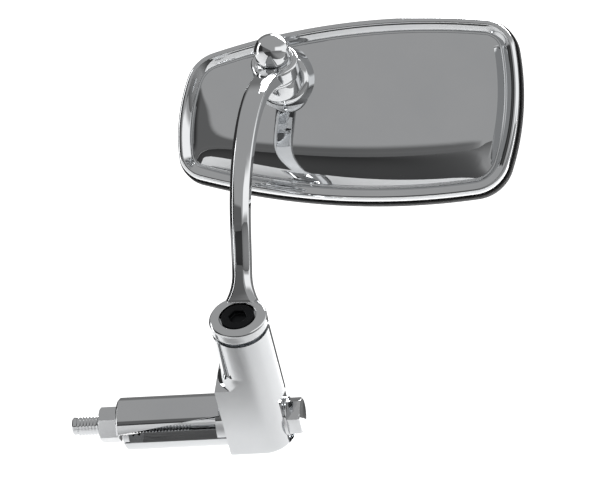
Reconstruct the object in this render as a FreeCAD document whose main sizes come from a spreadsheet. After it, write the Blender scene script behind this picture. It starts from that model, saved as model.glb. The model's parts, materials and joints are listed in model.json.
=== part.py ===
import FreeCAD, Part
import Sketcher
import math
import os

from FreeCAD import Placement, Rotation, Vector

# Bar-end motorcycle mirror.
# Frame: the origin is on the handlebar's axis where the clamp meets the bar's end.
# +X runs outboard along the bar, -Y is the front of the bike and +Z is up.

SIZES = {
    # Expander inside the bar
    "sleeve_r": 8.0,
    "sleeve_length": 34.0,
    "sleeve_bore_r": 3.9,
    "sleeve_cut_angle": 8.0,
    "sleeve_cut_height": -1.0,
    "sleeve_cut_gap": 0.3,
    "sleeve_end_gap": 1.9,
    "lower_half_gap": 1.8,
    "trough_floor": 5.9,
    "trough_wall_inner": 3.0,
    "trough_wall_outer": 2.0,
    "front_relief": 0.3,
    "sleeve_edge": 0.6,
    # Long hex bolt, its washer and its nut
    "bolt_r": 3.0,
    "bolt_tail": 48.6,
    "bolt_head_corner_r": 5.75,
    "bolt_head_height": 4.0,
    "bolt_crown_r": 5.06,
    "bolt_edge": 0.5,
    "bolt_rest_turn": -18.0,
    "bolt_washer_r": 6.0,
    "bolt_washer_thick": 0.9,
    "nut_corner_r": 5.6,
    "nut_height": 5.8,
    "nut_crown_r": 5.04,
    "nut_rest_turn": 15.0,
    "nut_gap": 0.1,
    "running_gap": 0.05,
    "thread_gap": 0.05,
    # Clamp body: a tilted column on a flat-sided foot
    "column_x": 10.4,
    "column_tilt": 44.0,
    "column_r": 8.75,
    "column_top": 38.25,
    "column_bottom": 8.1,
    "foot_top": 20.1,
    "foot_shoulder": 6.0,
    "shoulder_hollow": 0.3,
    "column_edge": 2.0,
    "spot_face_x": 17.6,
    "spot_face_top": 11.3,
    "spot_face_bottom": 7.0,
    # Stem, its eyes and the socket screw
    "stem_washer_r": 7.4,
    "stem_washer_thick": 0.8,
    "stem_rest_swing": -2.3,
    "low_eye_r": 8.85,
    "low_eye_thick": 4.2,
    "eye_edge": 1.2,
    "screw_r": 3.0,
    "screw_depth": 14.0,
    "screw_head_r": 5.1,
    "screw_head_height": 2.2,
    "screw_socket_r": 2.9,
    "screw_socket_depth": 1.5,
    "screw_head_gap": 0.5,
    "screw_recess": 0.2,
    "stem_reach": 92.3,
    "stem_rise": 16.4,
    "stem_arch": 30.6,
    "stem_low_width": 5.4,
    "stem_high_width": 7.2,
    "stem_depth": 5.6,
    "stem_bevel": 1.5,
    "stem_foot_flare": 5.6,
    "stem_top_flare": 1.6,
    "stem_top_overlap": 4.4,
    "top_eye_r": 7.3,
    "top_eye_thick": 5.5,
    # Pivot: knuckle, dome nut and washers
    "stud_r": 3.0,
    "stud_grip": 5.0,
    "pivot_washer_r": 6.6,
    "pivot_washer_thick": 0.8,
    "dome_washer_r": 5.9,
    "dome_washer_thick": 0.5,
    "dome_r": 5.4,
    "dome_foot_r": 4.7,
    "dome_waist": 2.4,
    "dome_height": 8.6,
    "dome_tip_r": 0.5,
    "dome_shoulder_r": 4.1,
    "dome_shoulder": 6.6,
    "dome_bulge_r": 5.2,
    "dome_bulge": 0.95,
    "dome_drill_tip": 1.5,
    "barrel_r": 6.3,
    "barrel_height": 7.0,
    "barrel_edge": 2.2,
    "neck_length": 14.0,
    "neck_root_r": 3.5,
    "neck_tip_r": 2.3,
    "neck_yaw": 5.0,
    "neck_rise": 3.0,
    "ball_r": 4.5,
    "ball_gap": 0.04,
    # Ball socket in the head
    "seat_r": 6.6,
    "seat_front": 2.4,
    "seat_back": 0.3,
    "seat_opening_r": 2.25,
    "cup_front": 0.9,
    "cup_back": 5.2,
    "cup_hole_r": 2.0,
    "spring_height": 2.0,
    "spring_thick": 0.7,
    "spring_inner_r": 2.6,
    "retainer_thick": 1.2,
    "retainer_hole_r": 2.2,
    "retainer_flat": 8.4,
    "boss_r": 10.0,
    "collar_height": 5.4,
    "collar_mouth_r": 5.4,
    "collar_neck_r": 7.9,
    "collar_neck": 3.8,
    "collar_hollow_r": 8.6,
    "collar_hollow": 1.6,
    "retainer_screw_r": 1.1,
    "retainer_screw_ring": 8.35,
    "retainer_screw_length": 4.0,
    "retainer_head_r": 1.6,
    "retainer_head_height": 1.3,
    # Head: attitude and outline, seen from its back
    "head_yaw": 6.9,
    "head_pitch": 5.7,
    "head_roll": 3.0,
    "ball_left_of_centre": 19.5,
    "ball_above_centre": 9.8,
    "left_top_x": 47.3,
    "left_top_z": 16.6,
    "right_top_x": 48.9,
    "right_top_z": 27.9,
    "right_low_x": 46.2,
    "right_low_z": 23.4,
    "left_low_x": 51.1,
    "left_low_z": 18.7,
    "top_bow": 5.7,
    "right_bow": 4.35,
    "low_bow": 5.5,
    "left_bow": 2.9,
    "left_top_round": 12.0,
    "right_top_round": 10.0,
    "right_low_round": 12.0,
    "left_low_round": 8.5,
    # Head: layers from the crowned back to the glass
    "crown_above_ball": 0.8,
    "crown_rise": 3.0,
    "crown_power": 2.6,
    "crown_corner_growth": 9.0,
    "bead_width": 3.8,
    "bead_height": 1.8,
    "bead_round": 1.6,
    "groove_width": 0.8,
    "shell_wall": 1.2,
    "skirt_depth": 9.4,
    "ledge_width": 2.6,
    "plate_thick": 0.8,
    "plate_gap": 0.3,
    "seal_proud": 0.6,
    "seal_wrap": 3.0,
    "seal_wall": 1.3,
    "seal_web": 0.8,
    "seal_web_width": 3.8,
    "seal_lip": 0.6,
    "seal_lip_width": 2.4,
    "seal_lip_round": 0.48,
    "glass_thick": 2.2,
    "glass_crown": 1.2,
    "glass_gap": 0.1,
}

# Shape of the stem's arch: share of the reach and share of the arch's height.
STEM_SHAPE = [(0.07, 0.0), (0.15, 0.20), (0.28, 0.63), (0.43, 0.91), (0.58, 1.0), (0.76, 0.91)]
# Places of the arm's sections along its arch; they lie closer where the foot flares into its eye.
STEM_STATIONS = [0.0, 0.02, 0.045, 0.07, 0.1, 0.16, 0.25, 0.37, 0.5, 0.63, 0.75, 0.87, 0.94, 1.0]
FOOT_FLARE_SHARE = 0.1
TOP_FLARE_SHARE = 0.13
# Loops that the crowned panels are lofted through, as shares of their outline.
CROWN_SHARES = [0.93, 0.82, 0.66, 0.45, 0.2]
RETAINER_SCREWS = 3
TINY = 1e-3

doc = FreeCAD.newDocument("bar_end_mirror")
sheet = doc.addObject("Spreadsheet::Sheet", "Size")
for row, (alias, value) in enumerate(SIZES.items(), start=1):
    sheet.set("A%d" % row, alias)
    sheet.set("B%d" % row, str(value))
    sheet.setAlias("B%d" % row, alias)
doc.recompute()

pieces = []


def size(alias):
    return float(sheet.get(alias))


def add(kind, name, **formulas):
    """Add an object whose properties follow formulas of the sheet's aliases."""
    item = doc.addObject(kind, name)
    for prop, formula in formulas.items():
        item.setExpression(prop.replace("_at_", "Placement.Base."), formula)
    return item


def cylinder(name, radius, height, z="0"):
    return add("Part::Cylinder", name, Radius=radius, Height=height, _at_z=z)


def hexagon(name, corner_r, height, z="0"):
    return add("Part::Prism", name, Circumradius=corner_r, Height=height, _at_z=z)


def cut(name, base, *tools):
    for index, tool in enumerate(tools):
        result = doc.addObject("Part::Cut", "%s_cut%d" % (name, index))
        result.Base = base
        result.Tool = tool
        base = result
    return base


def fuse(name, *shapes):
    result = doc.addObject("Part::MultiFuse", name + "_fuse")
    result.Shapes = list(shapes)
    return result


def finish(item, label, placement=Placement()):
    """Give a sub-part its label and its place in the mirror."""
    item.Label = label
    item.Placement = placement
    pieces.append(item)
    return item


def shaped(label, shape, placement=Placement()):
    """A sub-part whose form is made from curves, lofts or turned profiles."""
    item = doc.addObject("Part::Feature", label)
    item.Shape = shape
    return finish(item, label, placement)


def washer(label, radius, hole, thick, placement):
    """A flat ring as a body: a padded circle with a hole."""
    body = doc.addObject("PartDesign::Body", label)
    plane = [f for f in body.Origin.OriginFeatures if f.Role == "XY_Plane"][0]
    sketch = body.newObject("Sketcher::SketchObject", label + "_sketch")
    sketch.AttachmentSupport = [(plane, "")]
    sketch.MapMode = "FlatFace"
    for index, formula in enumerate((radius, hole)):
        sketch.addGeometry(Part.Circle(Vector(0, 0, 0), Vector(0, 0, 1), index + 1.0))
        sketch.addConstraint(Sketcher.Constraint("Coincident", index, 3, -1, 1))
        bound = sketch.addConstraint(Sketcher.Constraint("Radius", index, index + 1.0))
        sketch.setExpression("Constraints[%d]" % bound, formula)
    pad = body.newObject("PartDesign::Pad", label + "_pad")
    pad.Profile = sketch
    pad.setExpression("Length", thick)
    body.Tip = pad
    return finish(body, label, placement)


def turned(points):
    """Solid of revolution about Z from (radius, height) points; a triple adds an arc's middle point."""
    edges = []
    for start, end in zip(points, points[1:] + points[:1]):
        a = Vector(start[0], 0, start[1])
        b = Vector(end[0], 0, end[1])
        if len(end) == 3:
            edges.append(Part.Arc(a, Vector(end[2][0], 0, end[2][1]), b).toShape())
        else:
            edges.append(Part.LineSegment(a, b).toShape())
    return Part.Face(Part.Wire(edges)).revolve(Vector(0, 0, 0), Vector(0, 0, 1), 360)


def round_edges(shape, radius, keep):
    """Fillet the edges that a test picks."""
    return shape.makeFillet(radius, [edge for edge in shape.Edges if keep(edge)])


# Frames of the parts that turn against each other
along_bar = Placement(Vector(0, 0, 0), Rotation(Vector(0, 1, 0), 90))
column = Placement(Vector(size("column_x"), 0, 0), Rotation(Vector(1, 0, 0), size("column_tilt")))
eye_seat = size("column_top") + size("stem_washer_thick")
stem_turn = Rotation(Vector(0, 0, 1), size("stem_rest_swing"))
stem_frame = column * Placement(Vector(0, 0, eye_seat), stem_turn)
pivot = stem_frame * Placement(Vector(0, size("stem_reach"), size("stem_rise")), Rotation())
neck_turn = Rotation(Vector(0, 0, 1), size("neck_yaw")) * Rotation(Vector(1, 0, 0), size("neck_rise"))
neck_along = neck_turn.multVec(Vector(0, 1, 0))
barrel_middle = -size("pivot_washer_thick") - size("barrel_height") / 2
ball_centre = pivot.multVec(Vector(0, 0, barrel_middle)) + neck_along * size("neck_length")
head_turn = Rotation(Vector(0, 0, 1), size("head_yaw")) * Rotation(Vector(1, 0, 0), -size("head_pitch"))
head_turn = head_turn * Rotation(Vector(0, 1, 0), size("head_roll"))
head = Placement(ball_centre, head_turn)
# Turned pieces of the ball socket have their axis along Z, towards the front of the bike.
socket = head * Placement(Vector(0, 0, 0), Rotation(Vector(1, 0, 0), 90))


def make_clamp_body():
    """Column on a flat-sided foot, with a cross hole for the bolt and a blind hole for the stem's screw."""
    radius = size("column_r")
    low = -size("column_bottom")
    inner = size("column_x")
    foot_top = size("foot_top")
    shoulder_top = foot_top + size("foot_shoulder")
    post = Part.makeCylinder(radius, size("column_top") - low, Vector(0, 0, low))
    foot = Part.makeBox(inner, radius * 2, foot_top - low, Vector(-inner, -radius, low))
    bend = ((inner + radius) / 2 - size("shoulder_hollow"), foot_top + size("foot_shoulder") / 3)
    flare = turned([(0, foot_top), (inner, foot_top), (radius, shoulder_top, bend), (0, shoulder_top)])
    flare = flare.common(Part.makeBox(inner, radius * 2, shoulder_top, Vector(-inner, -radius, 0)))
    body = post.fuse([foot, flare]).removeSplitter()
    body = round_edges(body, size("column_edge"), lambda edge: edge.BoundBox.ZMax < low + TINY)
    flat_height = size("spot_face_top") + size("spot_face_bottom")
    flat = Part.makeBox(radius * 2, radius * 4, flat_height)
    flat.translate(Vector(size("spot_face_x") - inner, -radius * 2, -size("spot_face_bottom")))
    cross = Part.makeCylinder(size("bolt_r") + size("running_gap"), radius * 6,
                              Vector(-radius * 3, 0, 0), Vector(1, 0, 0))
    depth = size("screw_depth") + size("screw_r")
    blind = Part.makeCylinder(size("screw_r") + size("thread_gap"), depth,
                              Vector(0, 0, size("column_top") - depth))
    return body.cut([flat, cross, blind]).removeSplitter()


def sleeve_blank(start, end):
    """A length of the expander's tube, chamfered where it enters the bar."""
    tube = Part.makeCylinder(size("sleeve_r"), end - start, Vector(start, 0, 0), Vector(1, 0, 0))
    tube = tube.makeChamfer(size("sleeve_edge"), [e for e in tube.Edges if e.BoundBox.XMax < start + TINY])
    bore = Part.makeCylinder(size("sleeve_bore_r"), end - start, Vector(start, 0, 0), Vector(1, 0, 0))
    return tube.cut(bore)


def above_cut(shift):
    """Block that fills the space above the oblique cut, lowered or raised by a shift."""
    length = size("sleeve_length") * 3
    width = size("sleeve_r") * 4
    block = Part.makeBox(length, width, width, Vector(-length / 2, -width / 2, 0))
    block.rotate(Vector(0, 0, 0), Vector(0, 1, 0), -size("sleeve_cut_angle"))
    block.translate(Vector(-size("sleeve_length") / 2, 0, size("sleeve_cut_height") + shift))
    return block


def make_expander_upper():
    half = sleeve_blank(-size("sleeve_length"), -size("sleeve_end_gap")).common(above_cut(0))
    return half.removeSplitter()


def make_expander_lower():
    """Lower half: open at the front between two end walls that the bolt passes through.

    The end walls are turned down at the front, so that only the bottom and the back grip the bar.
    """
    outer_end = -size("sleeve_length") + size("lower_half_gap")
    half = sleeve_blank(outer_end, 0).cut(above_cut(-size("sleeve_cut_gap")))
    width = size("sleeve_r") * 2
    start = outer_end + size("trough_wall_outer")
    trough = Part.makeBox(-size("trough_wall_inner") - start, width / 2 + size("sleeve_bore_r"), width,
                          Vector(start, -width / 2, -size("trough_floor")))
    core = Part.makeCylinder(size("sleeve_r") - size("front_relief"), -outer_end, Vector(outer_end, 0, 0),
                             Vector(1, 0, 0))
    front = Part.makeBox(-outer_end, width, width, Vector(outer_end, -width, -size("trough_floor")))
    return half.cut([trough, front.cut(core)])


def turned_on_bar(turn):
    """Place of a hexagon on the bar's axis, turned to where its corners stand at rest."""
    return along_bar * Placement(Vector(0, 0, 0), Rotation(Vector(0, 0, 1), size(turn)))


def make_bolt():
    """Hex bolt: its head bears on the washer outside the clamp, its tail carries the nut."""
    seat = "Size.spot_face_x + Size.bolt_washer_thick"
    shank = cylinder("bolt_shank", "Size.bolt_r", seat + " + Size.bolt_tail", "-Size.bolt_tail")
    tip = add("Part::Chamfer", "bolt_tip")
    tip.Base = shank
    doc.recompute()
    ends = [i for i, e in enumerate(shank.Shape.Edges, 1)
            if e.BoundBox.ZMax < TINY - size("bolt_tail")]
    tip.Edges = [(i, size("bolt_edge"), size("bolt_edge")) for i in ends]
    head_block = hexagon("bolt_hex", "Size.bolt_head_corner_r", "Size.bolt_head_height", seat)
    crown = add("Part::Cone", "bolt_crown", Radius1="Size.bolt_crown_r + Size.bolt_head_height",
                Radius2="Size.bolt_crown_r", Height="Size.bolt_head_height", _at_z=seat)
    hex_head = doc.addObject("Part::Common", "bolt_head")
    hex_head.Base = head_block
    hex_head.Tool = crown
    return finish(fuse("bolt", tip, hex_head), "expander_bolt", turned_on_bar("bolt_rest_turn"))


def make_nut():
    """Hex nut on the bolt's thread, against the outer end of the expander's upper half."""
    start = "-Size.sleeve_length - Size.nut_height - Size.nut_gap"
    block = hexagon("nut_hex", "Size.nut_corner_r", "Size.nut_height", start)
    crown = add("Part::Cone", "nut_crown", Radius1="Size.nut_crown_r",
                Radius2="Size.nut_crown_r + Size.nut_height", Height="Size.nut_height", _at_z=start)
    hex_nut = doc.addObject("Part::Common", "nut_block")
    hex_nut.Base = block
    hex_nut.Tool = crown
    hole = cylinder("nut_hole", "Size.bolt_r + Size.running_gap", "Size.nut_height", start)
    return finish(cut("nut", hex_nut, hole), "expander_nut", turned_on_bar("nut_rest_turn"))


def make_stem_screw():
    """Socket screw that holds the stem's lower eye on the column."""
    seat = "Size.low_eye_thick - Size.screw_head_height - Size.screw_recess"
    shank = cylinder("screw_shank", "Size.screw_r",
                     "Size.screw_depth + Size.stem_washer_thick + " + seat,
                     "-Size.stem_washer_thick - Size.screw_depth")
    screw_head = cylinder("screw_head", "Size.screw_head_r", "Size.screw_head_height", seat)
    socket_hole = hexagon("screw_socket", "Size.screw_socket_r", "Size.screw_socket_depth",
                          seat + " + Size.screw_head_height - Size.screw_socket_depth")
    return finish(cut("screw", fuse("screw", shank, screw_head), socket_hole), "stem_screw", stem_frame)


def stem_section(point, along, width):
    """Outline across the arm: a flat front between two wide bevels, and a narrow bevel at the back."""
    across = Vector(1, 0, 0)
    front = across.cross(along).normalize()
    half = width / 2
    deep = size("stem_depth") / 2
    bevel = size("stem_bevel")
    small = bevel / 2
    corners = [(half - small, -deep), (half, small - deep), (half, deep - bevel), (half - bevel, deep),
               (bevel - half, deep), (-half, deep - bevel), (-half, small - deep), (small - half, -deep)]
    return Part.makePolygon([point + across * a + front * b for a, b in corners + corners[:1]])


def make_stem():
    """Arched arm between two eyes; the lower one is counterbored for its screw."""
    reach = size("stem_reach")
    low_middle = size("low_eye_thick") / 2
    high_middle = size("stem_rise") + size("top_eye_thick") / 2
    route = [Vector(0, f * reach, low_middle + g * size("stem_arch")) for f, g in STEM_SHAPE]
    route.append(Vector(0, reach - size("stem_top_overlap"), high_middle))
    arch = Part.BSplineCurve()
    arch.interpolate(route)
    sections = []
    for share in STEM_STATIONS:
        at = arch.FirstParameter + share * (arch.LastParameter - arch.FirstParameter)
        width = size("stem_low_width") + share * (size("stem_high_width") - size("stem_low_width"))
        width += size("stem_foot_flare") * max(0, 1 - share / FOOT_FLARE_SHARE) ** 2
        width += size("stem_top_flare") * max(0, 1 - (1 - share) / TOP_FLARE_SHARE) ** 2
        sections.append(stem_section(arch.value(at), Vector(*arch.tangent(at)[0]), width))
    arm = Part.makeLoft(sections, True)
    low_eye = Part.makeCylinder(size("low_eye_r"), size("low_eye_thick"))
    top_eye = Part.makeCylinder(size("top_eye_r"), size("top_eye_thick"),
                                Vector(0, reach, size("stem_rise")))
    eyes = [round_edges(eye, size("eye_edge"), lambda edge: len(edge.Vertexes) == 1)
            for eye in (low_eye, top_eye)]
    bore = Part.makeCylinder(size("screw_r") + size("running_gap"), size("low_eye_thick"))
    recess_floor = size("low_eye_thick") - size("screw_head_height") - size("screw_recess")
    recess = Part.makeCylinder(size("screw_head_r") + size("screw_head_gap"), size("stem_arch") / 2,
                               Vector(0, 0, recess_floor))
    pivot_bore = Part.makeCylinder(size("stud_r") + size("running_gap"), size("top_eye_thick"),
                                   Vector(0, reach, size("stem_rise")))
    washer_room = Part.makeCylinder(size("dome_washer_r") + size("eye_edge"), size("stem_arch"),
                                    Vector(0, reach, size("stem_rise") + size("top_eye_thick")))
    below = Part.makeCylinder(size("top_eye_r") * 2, size("stem_rise"), Vector(0, reach, 0))
    under = Part.makeBox(reach, reach, reach, Vector(-reach / 2, -reach / 2, -reach))
    return arm.fuse(eyes).cut([bore, recess, pivot_bore, washer_room, below, under])


def make_knuckle():
    """Barrel under the stem's upper eye, with a threaded stud above it and a necked ball behind it."""
    top = -size("pivot_washer_thick")
    low = top - size("barrel_height")
    barrel = Part.makeCylinder(size("barrel_r"), size("barrel_height"), Vector(0, 0, low))
    barrel = round_edges(barrel, size("barrel_edge"), lambda edge: edge.BoundBox.ZMax < low + TINY)
    stud_length = size("top_eye_thick") + size("dome_washer_thick") + size("stud_grip") - top
    stud = Part.makeCylinder(size("stud_r"), stud_length, Vector(0, 0, top))
    root = Vector(0, 0, barrel_middle)
    along = pivot.Rotation.inverted().multVec(neck_along)
    neck = Part.makeCone(size("neck_root_r"), size("neck_tip_r"), size("neck_length"), root, along)
    ball = Part.makeSphere(size("ball_r"), root + along * size("neck_length"))
    return barrel.fuse([stud, neck, ball])


def make_dome_nut():
    """Acorn nut: a narrow foot, a full waist and a rounded crown over a blind thread."""
    foot = size("dome_foot_r")
    full = size("dome_r")
    waist = size("dome_waist")
    top = size("dome_height")
    hole = size("stud_r") + size("running_gap")
    deep = size("stud_grip") + size("dome_washer_thick")
    bulge = (size("dome_bulge_r"), size("dome_bulge"))
    shoulder = (size("dome_shoulder_r"), size("dome_shoulder"))
    return turned([(hole, 0), (foot, 0), (full, waist, bulge), (size("dome_tip_r"), top, shoulder), (0, top),
                   (0, deep + size("dome_drill_tip")), (hole, deep)])


def outline_sides(growth):
    """The head's four bowed sides as circles, and the centres of its four corner rounds.

    Growth makes the corners rounder.
    """
    corners = [Vector(-size("left_top_x"), 0, size("left_top_z")),
               Vector(size("right_top_x"), 0, size("right_top_z")),
               Vector(size("right_low_x"), 0, -size("right_low_z")),
               Vector(-size("left_low_x"), 0, -size("left_low_z"))]
    bows = [size("top_bow"), size("right_bow"), size("low_bow"), size("left_bow")]
    names = ["right_top_round", "right_low_round", "left_low_round", "left_top_round"]
    rounds = [size(name) + growth for name in names]
    circles = []
    for a, b, bow in zip(corners, corners[1:] + corners[:1], bows):
        half = (b - a).Length / 2
        radius = (half * half + bow * bow) / (2 * bow)
        outward = (b - a).cross(Vector(0, 1, 0)).normalize()
        if outward.dot(a + b) < 0:
            outward = outward * -1
        circles.append(((a + b) / 2 - outward * (radius - bow), radius))
    centres = []
    for index, corner_round in enumerate(rounds):
        corner = corners[(index + 1) % len(corners)]
        first, second = circles[index], circles[(index + 1) % len(circles)]
        centres.append(meeting_point(first[0], first[1] - corner_round,
                                     second[0], second[1] - corner_round, corner))
    return circles, centres, rounds


def meeting_point(centre_a, radius_a, centre_b, radius_b, near):
    """The crossing of two circles in the XZ plane that lies nearest to a point."""
    apart = centre_b - centre_a
    span = apart.Length
    along = (span * span + radius_a * radius_a - radius_b * radius_b) / (2 * span)
    aside = math.sqrt(radius_a * radius_a - along * along)
    unit = apart / span
    foot = centre_a + unit * along
    sideways = unit.cross(Vector(0, 1, 0)) * aside
    return min((foot + sideways, foot - sideways), key=lambda point: (point - near).Length)


def outline(inset, depth, share=1.0):
    """Closed wire of the head's outline, moved in by an inset or shrunk to a share, at a depth.

    A shrunken outline has rounder corners, so that a crown has no ridges towards them.
    """
    circles, centres, rounds = outline_sides(size("crown_corner_growth") * (1 - share))
    middle = Vector(size("ball_left_of_centre"), 0, -size("ball_above_centre"))
    edges = []

    def place(point):
        return middle + point * share + Vector(0, depth, 0)

    def reach(centre, through, radius):
        return centre + (through - centre).normalize() * radius

    count = len(circles)
    for index in range(count):
        centre, radius = circles[index]
        start = reach(centre, centres[index - 1], radius - inset)
        end = reach(centre, centres[index], radius - inset)
        half_way = reach(centre, (start + end) / 2, radius - inset)
        edges.append(Part.Arc(place(start), place(half_way), place(end)).toShape())
        after = circles[(index + 1) % count]
        turn_end = reach(after[0], centres[index], after[1] - inset)
        corner = reach(centres[index], (end + turn_end) / 2, rounds[index] - inset)
        edges.append(Part.Arc(place(end), place(corner), place(turn_end)).toShape())
    return Part.Wire(edges)


def slab(inset, start, end):
    """Plate of the head's outline between two depths."""
    return Part.Face(outline(inset, start)).extrude(Vector(0, end - start, 0))


def crowned(inset, edge, rise):
    """Solid under a crowned panel: flat at the edge's depth and raised by a rise towards its middle."""
    power = size("crown_power")
    loops = [outline(inset, edge)]
    for share in CROWN_SHARES:
        loops.append(outline(inset, edge + rise * (1 - share ** power), share))
    return Part.makeLoft(loops, True)


# Depths in the head, measured from the ball's centre towards the glass
panel_edge = size("crown_rise") - size("crown_above_ball")
skirt_end = panel_edge + size("skirt_depth")
plate_face = skirt_end - size("plate_thick")
retainer_face = size("cup_back") + size("spring_height")
glass_back = skirt_end + size("seal_web")
glass_front = glass_back + size("glass_thick")
seal_edge = -size("seal_proud")
seat_hole_r = size("seat_r") + size("running_gap")


def make_back_shell():
    """Pressed shell: crowned back, groove and bead along the edge, and a flared collar for the ball."""
    panel_inset = size("bead_width") + size("groove_width")
    groove_floor = panel_edge + size("groove_width") / 2
    bead_top = panel_edge - size("bead_height") + size("groove_width") / 2
    wall = size("shell_wall")
    base = slab(0, groove_floor, skirt_end)
    bead = slab(0, bead_top, groove_floor).cut(slab(size("bead_width"), bead_top, groove_floor))
    bead = round_edges(bead, size("bead_round"), lambda edge: edge.BoundBox.YMax < bead_top + TINY)
    panel = slab(panel_inset, panel_edge, groove_floor).fuse(crowned(panel_inset, panel_edge,
                                                                    -size("crown_rise")))
    ledge = size("ledge_width") + wall
    room = slab(wall, plate_face, skirt_end)
    inner_edge = groove_floor + wall
    room = room.fuse([slab(ledge, inner_edge, plate_face),
                      crowned(ledge + wall, inner_edge, wall / 2 - size("crown_rise"))])
    mouth = size("collar_height")
    neck_r = size("collar_neck_r")
    low = -retainer_face
    boss_r = size("boss_r")
    hollow = (size("collar_hollow_r"), size("collar_hollow"))
    collar = turned([(0, low), (boss_r, low), (boss_r, 0), (neck_r, size("collar_neck"), hollow),
                     (size("collar_mouth_r") + wall / 2, mouth), (0, mouth)])
    front = size("seat_front")
    flare = size("collar_mouth_r") - wall
    socket_room = turned([(0, low), (seat_hole_r, low), (seat_hole_r, front), (flare, front),
                          (size("collar_mouth_r"), mouth), (0, mouth)])
    screw_holes = [Part.makeCylinder(size("retainer_screw_r") + size("thread_gap"),
                                     size("retainer_screw_length"), at + Vector(0, 0, low))
                   for at in retainer_screw_places()]
    turn_to_head = Placement(Vector(0, 0, 0), Rotation(Vector(1, 0, 0), 90))
    for shape in [collar, socket_room] + screw_holes:
        shape.Placement = turn_to_head.multiply(shape.Placement)
    shell = base.fuse([bead, panel]).cut(room)
    return shell.fuse(collar).cut([socket_room] + screw_holes).removeSplitter()


def retainer_screw_places():
    turn = 360 / RETAINER_SCREWS
    ring = Vector(0, -size("retainer_screw_ring"), 0)
    return [Rotation(Vector(0, 0, 1), turn * i).multVec(ring) for i in range(RETAINER_SCREWS)]


def ball_space():
    return Part.makeSphere(size("ball_r") + size("ball_gap"))


def make_ball_seat():
    """Ring that the ball bears against on its neck side."""
    low = -size("seat_back")
    ring = Part.makeCylinder(size("seat_r"), size("seat_front") - low, Vector(0, 0, low))
    opening = Part.makeCone(size("seat_opening_r"), size("ball_r"), size("seat_front"))
    return ring.cut([ball_space(), opening])


def make_ball_cup():
    """Cup that the spring presses against the back of the ball."""
    low = -size("cup_back")
    cup = Part.makeCylinder(size("seat_r"), size("cup_back") - size("cup_front"), Vector(0, 0, low))
    hole = Part.makeCylinder(size("cup_hole_r"), size("cup_back"), Vector(0, 0, low))
    return cup.cut([ball_space(), hole])


def make_ball_spring():
    """Disc spring: a dished ring between the cup and the retaining plate."""
    low = -retainer_face
    high = -size("cup_back")
    inner = size("spring_inner_r")
    outer = size("seat_r") - size("spring_thick") / 2
    thick = size("spring_thick")
    return turned([(outer, low), (outer, low + thick), (inner, high), (inner, high - thick)])


def make_ball_retainer():
    """Plate that closes the socket, held by small screws; a flat clears the shell's upper wall."""
    top = -retainer_face
    thick = size("retainer_thick")
    radius = size("boss_r")
    plate = Part.makeCylinder(radius, thick, Vector(0, 0, top - thick))
    flat = Part.makeBox(radius * 2, radius, thick, Vector(-radius, size("retainer_flat"), top - thick))
    plate = plate.cut(flat)
    holes = [Part.makeCylinder(size("retainer_screw_r") + size("thread_gap"), thick,
                               at + Vector(0, 0, top - thick)) for at in retainer_screw_places()]
    centre = Part.makeCylinder(size("retainer_hole_r"), thick, Vector(0, 0, top - thick))
    return plate.cut(holes + [centre])


def make_retainer_screws():
    """The plate's screws, one group of separate solids."""
    top = -retainer_face - size("retainer_thick")
    length = size("retainer_thick") + size("retainer_screw_length") - size("thread_gap")
    screws = []
    for at in retainer_screw_places():
        shank = Part.makeCylinder(size("retainer_screw_r"), length, at + Vector(0, 0, top))
        screw_head = Part.makeCylinder(size("retainer_head_r"), size("retainer_head_height"),
                                       at + Vector(0, 0, top - size("retainer_head_height")))
        edge = size("retainer_head_height") / 2
        low = top - size("retainer_head_height")
        screw_head = round_edges(screw_head, edge, lambda line: line.BoundBox.ZMax < low + TINY)
        screws.append(shank.fuse(screw_head).removeSplitter())
    return Part.makeCompound(screws)


def make_backing_plate():
    return slab(size("shell_wall") + size("plate_gap"), plate_face, skirt_end)


def make_seal():
    """Rubber channel round the glass: a web behind it, a wall outside it, a lip over its edge and a skirt.

    The skirt is stretched over the end of the shell, so it stands proud of it.
    """
    inset = seal_edge
    wrap_start = skirt_end - size("seal_wrap")
    wrap = slab(inset, wrap_start, skirt_end).cut(slab(-size("glass_gap"), wrap_start, skirt_end))
    web = slab(inset, skirt_end, glass_back).cut(slab(inset + size("seal_web_width"), skirt_end, glass_back))
    inner = inset + size("seal_wall")
    wall = slab(inset, glass_back, glass_front).cut(slab(inner, glass_back, glass_front))
    lip_end = glass_front + size("seal_lip")
    lip = slab(inset, glass_front, lip_end)
    lip = round_edges(lip, size("seal_lip_round"), lambda edge: edge.BoundBox.YMin > lip_end - TINY)
    lip = lip.cut(slab(inset + size("seal_lip_width"), glass_front, lip_end))
    return web.fuse([wrap, wall, lip]).removeSplitter()


def glass_body(inset, start, end):
    """Bent plate between two depths, bulging towards the rider by the glass's crown."""
    edge = inset + size("seal_lip_width")
    bulge = crowned(edge, end, size("glass_crown"))
    hollow = crowned(edge, start, size("glass_crown"))
    return slab(inset, start, end).fuse(bulge).cut(hollow)


def make_mirror_glass():
    inset = seal_edge + size("seal_wall") + size("glass_gap")
    return glass_body(inset, glass_back, glass_front)


def make_glass_pad():
    """Adhesive foam that fills the space between the backing plate and the bent glass."""
    inset = seal_edge + size("seal_web_width") + size("glass_gap")
    edge = seal_edge + size("seal_wall") + size("glass_gap") + size("seal_lip_width")
    top = glass_back - size("glass_gap")
    return slab(inset, skirt_end, top).fuse(crowned(edge, top, size("glass_crown")))


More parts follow.
